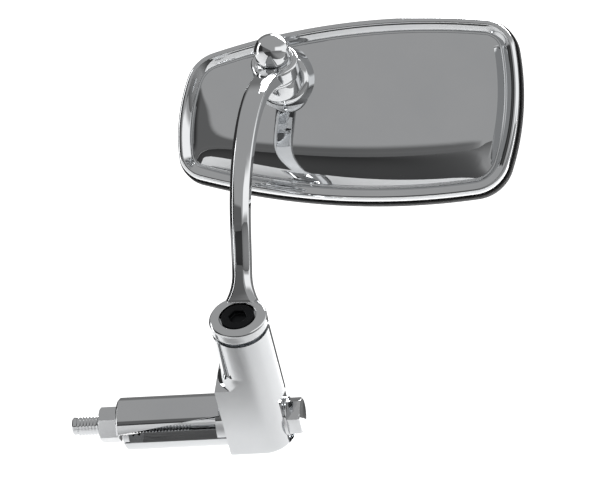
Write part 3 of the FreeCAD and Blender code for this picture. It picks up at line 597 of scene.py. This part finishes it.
sides = []
for a, b, bow in zip(CORNERS, CORNERS[1:] + CORNERS[:1], BOWS):
    half = (b - a).length / 2
    radius = (half * half + bow * bow) / (2 * bow)
    outward = Vector((b.y - a.y, a.x - b.x)).normalized()
    outward *= 1 if outward.dot(a + b) > 0 else -1
    sides.append(((a + b) / 2 - outward * (radius - bow), radius))
turns = []
for i, corner_round in enumerate(ROUNDS):
    (ca, ra), (cb, rb) = sides[i], sides[(i + 1) % 4]
    turns.append(crossing(ca, ra - corner_round, cb, rb - corner_round, CORNERS[(i + 1) % 4]))


def walk(centre, radius, start, end, steps):
    """Points of an arc from one direction to another, each with its outward direction."""
    first = math.atan2(start.y, start.x)
    sweep = (math.atan2(end.y, end.x) - first + math.pi) % math.tau - math.pi
    found = []
    for i in range(steps):
        angle = first + sweep * i / steps
        outward = Vector((math.cos(angle), math.sin(angle)))
        found.append((centre + outward * radius, outward))
    return found


rim = []
for i, (centre, radius) in enumerate(sides):
    rim += walk(centre, radius, turns[i - 1] - centre, turns[i] - centre, SIDE_STEPS[i])
    after = sides[(i + 1) % 4][0]
    rim += walk(turns[i], ROUNDS[i], turns[i] - centre, turns[i] - after, CORNER_STEPS)
across_head = [point.x for point, outward in rim]
print("rim points", len(rim), "head width in mm", round(max(across_head) - min(across_head), 1))


def rim_loop(inset, depth):
    """The outline moved in by an inset, at a depth behind the ball's centre, in the head's frame."""
    return [Vector((CENTRE.x + p.x - n.x * inset, depth, CENTRE.y + p.y - n.y * inset)) for p, n in rim]


def pillow(x, z, inset, power_across, power_up):
    """A smooth crown: 1 in the middle of the head and 0 along its four sides."""
    at = Vector((x, z)) - CENTRE
    top, right, low_side, left = (max(radius - inset - (at - centre).length, 0.0) for centre, radius in sides)
    across = (left - right) / (left + right)
    upward = (low_side - top) / (low_side + top)
    return (1 - abs(across) ** power_across) * (1 - abs(upward) ** power_up)


# %% [markdown]
# ## Back shell
#
# The shell is pressed from one sheet: a crowned panel, a narrow groove, a bead whose crest lies near the
# edge and slopes back to the groove, and a skirt that holds the glass. It starts as a ring round the ball's
# opening, runs out over the crown to the rim, turns inwards below the skirt and comes back inside. The
# crown's height is one smooth formula, so that the reflections flow over it without ridges. A turned collar
# like a small bell is set over the opening.

# %% Back shell
PANEL_EDGE, CROWN_RISE = 2.2, 3.0
BEAD_WIDTH, BEAD_ROUND, BEAD_STEPS, GROOVE = 3.8, 1.3, 8, 0.8
CREST_FLAT, SLOPE_BULGE = 0.12, 0.08
BEAD_TOP, GROOVE_FLOOR, SKIRT_MIDDLE, SKIRT_END = 0.8, 2.6, 6.0, 11.6
LIP_IN, LIP_DROP, FLOOR_ROUND, SKIRT_ROUND = 0.1, 0.15, 0.2, 0.2
WALL, LEDGE = 1.2, 2.6
PLATE_FACE = 10.8
PANEL_INSET = BEAD_WIDTH + GROOVE
OPENING_R = 7.6
CROWN_ACROSS, CROWN_UP = 5.0, 4.0
PANEL_STEPS = 34
COLLAR_MOUTH_R, COLLAR_HEIGHT, COLLAR_LIP, COLLAR_DROP, COLLAR_FUNNEL = 5.4, 5.4, 0.2, 0.1, 1.1
COLLAR_NECK_R, NECK_HEIGHT, NECK_BULGE = 7.9, 3.8, 0.75
BELL_MIDDLE, BROW_MIDDLE, BROW_FLAT = 1.5, 4.95, 0.7
BOSS_R, BOSS_BACK, BOSS_FOOT, BOSS_IN, BOSS_OUT = 10.0, -5.0, -1.2, 0.6, 0.4
SEAT_R, SEAT_FRONT = 6.65, 2.4


def crown_loops(edge_inset, edge_depth, rise, steps):
    """Loops from the opening round the ball out to the panel's edge, over the crown."""
    outer = rim_loop(edge_inset, edge_depth)
    loops = []
    for step in range(steps + 1):
        share = step / steps
        loop = []
        for point in outer:
            inner = Vector((point.x, 0, point.z)).normalized() * OPENING_R
            x, z = (inner.x + (point.x - inner.x) * share, inner.z + (point.z - inner.z) * share)
            crown = pillow(x, z, edge_inset, CROWN_ACROSS, CROWN_UP)
            loop.append(Vector((x, edge_depth - rise * crown, z)))
        loops.append(loop)
    return loops


bead = [(PANEL_INSET - LIP_IN, PANEL_EDGE + LIP_DROP), (PANEL_INSET - LIP_DROP, GROOVE_FLOOR - LIP_IN),
        (PANEL_INSET - 2 * LIP_DROP, GROOVE_FLOOR), (BEAD_WIDTH + FLOOR_ROUND, GROOVE_FLOOR)]
# The slope between groove and crest bulges a little, so that its reflection has a soft gradient.
slope_foot = (BEAD_WIDTH, GROOVE_FLOOR - FLOOR_ROUND)
crest = (BEAD_ROUND + 2 * CREST_FLAT, BEAD_TOP + CREST_FLAT)
slope_middle = ((slope_foot[0] + crest[0]) / 2 + SLOPE_BULGE, (slope_foot[1] + crest[1]) / 2 - SLOPE_BULGE)
bead += [slope_foot] + bend(slope_foot, slope_middle, crest, 10)
bead.append((BEAD_ROUND + CREST_FLAT, BEAD_TOP + CREST_FLAT / 4))
for step in range(BEAD_STEPS + 1):
    angle = math.radians(90 * step / BEAD_STEPS)
    bead.append((BEAD_ROUND - BEAD_ROUND * math.sin(angle),
                 BEAD_TOP + BEAD_ROUND - BEAD_ROUND * math.cos(angle)))
bead += [(0, SKIRT_MIDDLE), (0, SKIRT_END - SKIRT_ROUND), (SKIRT_ROUND, SKIRT_END), (WALL, SKIRT_END),
         (WALL, PLATE_FACE), (WALL + LEDGE, PLATE_FACE), (WALL + LEDGE, GROOVE_FLOOR + WALL)]
outer_loops = crown_loops(PANEL_INSET, PANEL_EDGE, CROWN_RISE, PANEL_STEPS)
rim_loops = [rim_loop(inset, depth) for inset, depth in bead]
inner_loops = crown_loops(PANEL_INSET, GROOVE_FLOOR + WALL, CROWN_RISE - WALL / 2, PANEL_STEPS // 3)[::-1]
shell = bmesh.new()
pull_loops(shell, outer_loops + rim_loops + inner_loops + outer_loops[:1])
settle(shell)
bell_foot, collar_neck = (BOSS_R + BOSS_OUT, BOSS_FOOT), (COLLAR_NECK_R, NECK_HEIGHT)
profile = [(SEAT_R, BOSS_BACK), (BOSS_R - BOSS_IN, BOSS_BACK), bell_foot]
profile += bend(bell_foot, (COLLAR_NECK_R + NECK_BULGE, BELL_MIDDLE), collar_neck, 12)
profile += bend(collar_neck, (COLLAR_NECK_R - NECK_BULGE, BROW_MIDDLE),
                (COLLAR_MOUTH_R + BROW_FLAT, COLLAR_HEIGHT), 8)
profile += [(COLLAR_MOUTH_R + COLLAR_LIP, COLLAR_HEIGHT - COLLAR_DROP)]
profile += [(COLLAR_MOUTH_R - COLLAR_FUNNEL, SEAT_FRONT), (SEAT_R, SEAT_FRONT)]
turn(shell, profile, place=head_frame.inverted() @ socket_frame)
# The groove's lip stays sharp, or its shading would bend the reflection along the panel's edge.
finish_piece("pressed_shell", shell, "head", polished_chrome, ["back_shell"], head_frame, 28.0)

# %% [markdown]
# ## Glass and seal
#
# The glass bulges a little towards the rider, and a rubber channel holds its edge. The channel is stretched
# over the end of the skirt, so from the back it shows as a thin black line. Both follow the same outline at
# their own insets; the glass ends in a small cap at its middle, where the crown is level and a pole can't
# be seen.

# %% Glass and seal
GLASS_BACK, GLASS_FRONT, GLASS_CROWN = 12.4, 14.6, 1.2
GLASS_INSET, GLASS_EDGE, GLASS_POWER = 0.8, 2.4, 2.2
GLASS_STEPS, BACK_STRIDE, GLASS_POLE = 25, 5, 0.01
SEAL_INSET, SEAL_WALL, SEAL_WEB_WIDTH, SEAL_LIP_WIDTH, SEAL_LIP = -0.6, 1.3, 3.8, 2.4, 0.6
SEAL_WRAP, SEAL_FIT, WRAP_BEVEL = 3.0, 0.1, 0.2
LIP_ROUND, LIP_CORNER, LIP_BEVEL = 0.48, 0.07, 0.25

wrap_end, lip_end = SKIRT_END - SEAL_WRAP, GLASS_FRONT + SEAL_LIP
wall_in, lip_in, web_in = (SEAL_INSET + width for width in (SEAL_WALL, SEAL_LIP_WIDTH, SEAL_WEB_WIDTH))
seal_profile = [(-SEAL_FIT, SKIRT_END), (-SEAL_FIT, wrap_end),
                (SEAL_INSET + WRAP_BEVEL, wrap_end), (SEAL_INSET, wrap_end + WRAP_BEVEL),
                (SEAL_INSET, lip_end - LIP_ROUND), (SEAL_INSET + LIP_CORNER, lip_end - LIP_ROUND / 2),
                (SEAL_INSET + LIP_ROUND / 2, lip_end - LIP_CORNER), (SEAL_INSET + LIP_ROUND, lip_end),
                (lip_in - LIP_BEVEL, lip_end), (lip_in, lip_end - LIP_BEVEL),
                (lip_in, GLASS_FRONT), (wall_in, GLASS_FRONT), (wall_in, GLASS_BACK), (web_in, GLASS_BACK),
                (web_in, SKIRT_END), (-SEAL_FIT, SKIRT_END)]
seal = bmesh.new()
pull_loops(seal, [rim_loop(inset, depth) for inset, depth in seal_profile])
finish_piece("rubber_seal", seal, "head", epdm_rubber, ["seal"], head_frame, 50.0)


def glass_face(depth, shares):
    """Loops of one face of the glass, from its edge towards its middle."""
    edge = rim_loop(GLASS_INSET + GLASS_EDGE, depth)
    loops = []
    for share in shares:
        loop = []
        for point in edge:
            x, z = CENTRE.x + (point.x - CENTRE.x) * share, CENTRE.y + (point.z - CENTRE.y) * share
            crown = pillow(x, z, GLASS_INSET + GLASS_EDGE, GLASS_POWER, GLASS_POWER)
            loop.append(Vector((x, depth + GLASS_CROWN * crown, z)))
        loops.append(loop)
    return loops


glass_shares = [1 - step / GLASS_STEPS for step in range(GLASS_STEPS)] + [GLASS_POLE]
glass = bmesh.new()
front_side = glass_face(GLASS_FRONT, glass_shares)
back_side = glass_face(GLASS_BACK, glass_shares[::BACK_STRIDE] + [GLASS_POLE])
edge_loops = [rim_loop(GLASS_INSET, GLASS_BACK), rim_loop(GLASS_INSET, GLASS_FRONT)]
inner_end = pull_loops(glass, back_side[::-1] + edge_loops + front_side)
bmesh.ops.edgeloop_fill(glass, edges=inner_end)
bmesh.ops.edgeloop_fill(glass, edges=[edge for edge in glass.edges if edge.is_boundary])
finish_piece("convex_glass", glass, "head", silvered_glass, ["mirror_glass"], head_frame, 50.0)

# %% [markdown]
# ## Parts inside the head
#
# The ball's seat, cup, spring and retaining plate, the backing plate and the foam pad stay as they are in
# the CAD model, because the shell hides them. They only get a fitting finish.

# %% Finishes of the hidden parts
hidden = {"ball_seat": moulded_nylon, "ball_cup": moulded_nylon, "ball_spring": zinc_plate,
          "ball_retainer": zinc_plate, "retainer_screws": zinc_plate, "backing_plate": zinc_plate,
          "glass_pad": foam_tape}
for node, finish in hidden.items():
    slots = frame["nodes"][node].material_slots
    if slots:
        for material_slot in slots:
            material_slot.material = finish
    else:
        frame["nodes"][node].data.materials.append(finish)
print("finished CAD nodes:", sorted(hidden))

# %% [markdown]
# ## Studio
#
# Chrome shows its surroundings, so the light is planned from the reflections. The crowned back faces the
# camera and is an even mid grey, so the room behind the camera is grey. Its lower edge, the column and the
# underside of the arch are nearly white, so the floor and the room behind the mirror are bright. The dark
# wedge low in the crowned back is a card that lies on the floor in front. Photographers put such cards just
# outside the picture; here the card is seen by reflections only, so the floor stays plain in every view.

# %% Floor
FLOOR_GAP = 14.0
FLOOR_HALF = 1.2
FIBRE_MM = 2.0
floor_height = cad_box[0].z - FLOOR_GAP * MM


def studio_sheet(name, half, place, finish):
    """A flat square of the studio, which is no part of the mirror."""
    mesh = bpy.data.meshes.new(name)
    ground = bmesh.new()
    bmesh.ops.create_grid(ground, x_segments=1, y_segments=1, size=half)
    bmesh.ops.transform(ground, matrix=place, verts=ground.verts)
    ground.to_mesh(mesh)
    ground.free()
    mesh.materials.append(finish)
    sheet = bpy.data.objects.new(name, mesh)
    bpy.context.scene.collection.objects.link(sheet)
    return sheet


# Background paper: matt and white, with fibres that show only as a faint mottle.
paper, tree, shader, place = new_finish("white_background_paper")
shader.inputs["Roughness"].default_value = 0.8
shader.inputs["Specular IOR Level"].default_value = 0.0
fibre = add(tree, "ShaderNodeTexNoise", {"Vector": place, "Scale": per_metre(FIBRE_MM), "Detail": 3.0})
white = colour_between(tree, (fibre, "Fac"), "#F4F4F4", "#F8F8F8")
tree.links.new(white.outputs["Result"], shader.inputs["Base Color"])
studio_sheet("studio_floor", FLOOR_HALF, Matrix.Translation((0, 0, floor_height)), paper)
print("floor at mm:", round(floor_height / MM, 2))

# %% Dark card for the reflections
CARD_HALF, CARD_NEAR, CARD_ABOVE = 1.2, 0.1, 0.001
CARD_TURN = math.radians(-45.0)
FADE_START, FADE_END = 0.06, 0.2
# Grey cardboard, darker in front of the mirror than to its right, where the reflection fades out.
cardboard, tree, shader, place = new_finish("grey_cardboard")
shader.inputs["Roughness"].default_value = 0.9
shader.inputs["Specular IOR Level"].default_value = 0.0
across = add(tree, "ShaderNodeSeparateXYZ", {"Vector": place})
right_side = add(tree, "ShaderNodeMapRange", {"Value": (across, "X"), "From Min": FADE_START,
                                              "From Max": FADE_END}, interpolation_type="SMOOTHSTEP")
greys = colour_between(tree, (right_side, "Result"), "#4A4A4A", "#979797")
tree.links.new(greys.outputs["Result"], shader.inputs["Base Color"])
outward = Matrix.Rotation(CARD_TURN, 4, "Z") @ Matrix.Translation((CARD_NEAR + CARD_HALF, 0, 0))
on_floor = Matrix.Translation((0, 0, floor_height + CARD_ABOVE)) @ outward
dark_card = studio_sheet("dark_card", CARD_HALF, on_floor, cardboard)
dark_card.visible_camera = dark_card.visible_diffuse = dark_card.visible_shadow = False
print("card's near edge in mm:", CARD_NEAR / MM)

# %% [markdown]
# ## Room
#
# The room is drawn by brightness alone. A direction that leaves the mirror is compared with a few axes: to
# the front, to the back, sideways and up. Each range below says where, on such an axis from -1 to 1, one
# brightness passes softly to the next. A soft edge in the room becomes a soft edge in the chrome.

# %% Brightness of the room
WHITE, GREY, CARD, DIM, BLACK = 1.3, 0.45, 0.22, 0.15, 0.04
TO_FRONT = Vector((0.3, -0.92, 0.25)).normalized()
TO_BACK = Vector((-0.208, 0.978, 0.0))
FRONT_EDGE, LEFT_EDGE, TOP_EDGE = (0.3, 0.52), (-0.8, -0.6), (0.25, 0.5)
RIGHT_EDGE, RIGHT_TOP = (0.5, 0.65), (0.3, 0.45)
CARDS_OUTER, CARDS_INNER = (0.5, 0.72), (0.97, 0.99)
AHEAD_EDGE, AHEAD_TOP = (0.02, 0.22), (-0.02, 0.06)
BAND_FOOT, BAND_TOP, BAND_SLANT = (-0.04, 0.02), (0.06, 0.12), 0.5
room = bpy.data.worlds.new("studio_room")
room.use_nodes = True
tree = room.node_tree
background = tree.nodes["Background"]
direction = (add(tree, "ShaderNodeTexCoord"), "Generated")


def soft_step(source, edge, start, end):
    """A value that passes softly from a start to an end while its source crosses a range."""
    return add(tree, "ShaderNodeMapRange", {"Value": source, "From Min": edge[0], "From Max": edge[1],
                                            "To Min": start, "To Max": end},
               interpolation_type="SMOOTHSTEP"), "Result"


def step_up(source, edge):
    """A soft step from 0 to 1."""
    return soft_step(source, edge, 0.0, 1.0)


def step_down(source, edge):
    """A soft step from 1 to 0."""
    return soft_step(source, edge, 1.0, 0.0)


def reckon(operation, first, second):
    """One sum on two values."""
    return add(tree, "ShaderNodeMath", {0: first, 1: second}, operation=operation), "Value"


def blend(factor, first, second):
    """A value that a factor moves from a first to a second one."""
    return add(tree, "ShaderNodeMix", {"Factor": factor, "A": first, "B": second},
               data_type="FLOAT"), "Result"


def share_along(axis):
    """How far a direction points along an axis, from -1 to 1."""
    return add(tree, "ShaderNodeVectorMath", {0: direction, 1: axis}, operation="DOT_PRODUCT"), "Value"


facing, rear = share_along(TO_FRONT), share_along(TO_BACK)
split = add(tree, "ShaderNodeSeparateXYZ", {"Vector": direction})
side, height = (split, "X"), (split, "Z")
# Behind the camera, on the left and overhead the room is grey. On the right and behind the mirror it is
# white.
front_room = step_up(facing, FRONT_EDGE)
front_or_left = reckon("MAXIMUM", front_room, step_down(side, LEFT_EDGE))
grey_part = reckon("MAXIMUM", front_or_left, step_up(height, TOP_EDGE))
right_wall = reckon("MULTIPLY", step_up(side, RIGHT_EDGE), step_down(height, RIGHT_TOP))
level = blend(reckon("SUBTRACT", grey_part, reckon("MULTIPLY", grey_part, right_wall)), WHITE, GREY)
# Grey cards stand just outside the picture, so that each silhouette is drawn by a darker line.
outside = step_down(rear, CARDS_INNER)
level = blend(reckon("MULTIPLY", step_up(rear, CARDS_OUTER), outside), level, CARD)
# Beyond the paper the room is dark at the level of the table.
ahead = blend(step_up(side, AHEAD_EDGE), DIM, GREY)
dark = blend(front_room, BLACK, ahead)
slanted = reckon("ADD", height, reckon("MULTIPLY", side, BAND_SLANT))
band = reckon("MULTIPLY", step_up(height, BAND_FOOT), step_down(slanted, BAND_TOP))
level = blend(reckon("MULTIPLY", band, outside), level, dark)
level = blend(reckon("MULTIPLY", front_room, step_down(height, AHEAD_TOP)), level, ahead)
background.inputs["Color"].default_value = (1, 1, 1, 1)
tree.links.new(level[0].outputs[level[1]], background.inputs["Strength"])
bpy.context.scene.world = room
bpy.context.scene.view_settings.view_transform = "Standard"

# %% [markdown]
# ## Soft boxes
#
# Two soft boxes add the light that casts shadows. A large one behind and above brightens the floor and the
# tops of the parts, and a narrow strip on the left puts a long highlight on the round ones.

# %% Soft boxes


def soft_box(name, place, target, width, height, radiance):
    """A rectangular light whose panel has a given brightness, aimed at a point."""
    lamp = bpy.data.lights.new(name, "AREA")
    lamp.shape = "RECTANGLE"
    lamp.size, lamp.size_y = width, height
    lamp.energy = radiance * math.pi * width * height
    item = bpy.data.objects.new(name, lamp)
    item.location = place
    item.rotation_euler = (Vector(target) - Vector(place)).to_track_quat("-Z", "Y").to_euler()
    bpy.context.scene.collection.objects.link(item)


middle = (cad_box[0] + cad_box[1]) / 2
soft_box("top_box", (0.35, 1.15, 1.0), middle, width=1.0, height=0.8, radiance=13.0)
soft_box("left_strip", (-0.95, 0.05, 0.3), middle, width=0.2, height=0.9, radiance=4.0)

# %% [markdown]
# ## Camera
#
# The photograph was taken from the front, a little to the right, level with the mirror and with the bar's
# axis rising slightly. A long lens keeps the sides parallel, as in the photograph.

# %% Camera
VIEW_TURN, VIEW_ROLL = math.radians(12.0), math.radians(3.0)
MM_PER_PIXEL, IMAGE_WIDTH = 0.304, 600
AIM_ALONG, AIM_UP = 23.9, 52.8
CAMERA_DISTANCE = 4.07
# The scale holds in the plane half way between the clamp and the head.
SCALE_PLANE = 25.0
camera_data = bpy.data.cameras.new("photo_camera")
camera_data.sensor_width = 36.0
camera_data.lens = camera_data.sensor_width * CAMERA_DISTANCE / (MM_PER_PIXEL * MM * IMAGE_WIDTH)
camera_data.clip_end = 40.0
camera = bpy.data.objects.new("photo_camera", camera_data)
bpy.context.scene.collection.objects.link(camera)
sideways = Vector((math.cos(VIEW_TURN), math.sin(VIEW_TURN), 0))
upward = Vector((0, 0, 1))
towards = Vector((math.sin(VIEW_TURN), -math.cos(VIEW_TURN), 0))
image_x = sideways * math.cos(VIEW_ROLL) - upward * math.sin(VIEW_ROLL)
image_y = sideways * math.sin(VIEW_ROLL) + upward * math.cos(VIEW_ROLL)
stand = Matrix((image_x, image_y, towards)).transposed().to_4x4()
aim = (sideways * AIM_ALONG + upward * AIM_UP - towards * SCALE_PLANE) * MM
stand.translation = aim + towards * CAMERA_DISTANCE
camera.matrix_world = stand
bpy.context.scene.camera = camera
print("lens in mm:", round(camera_data.lens, 1))
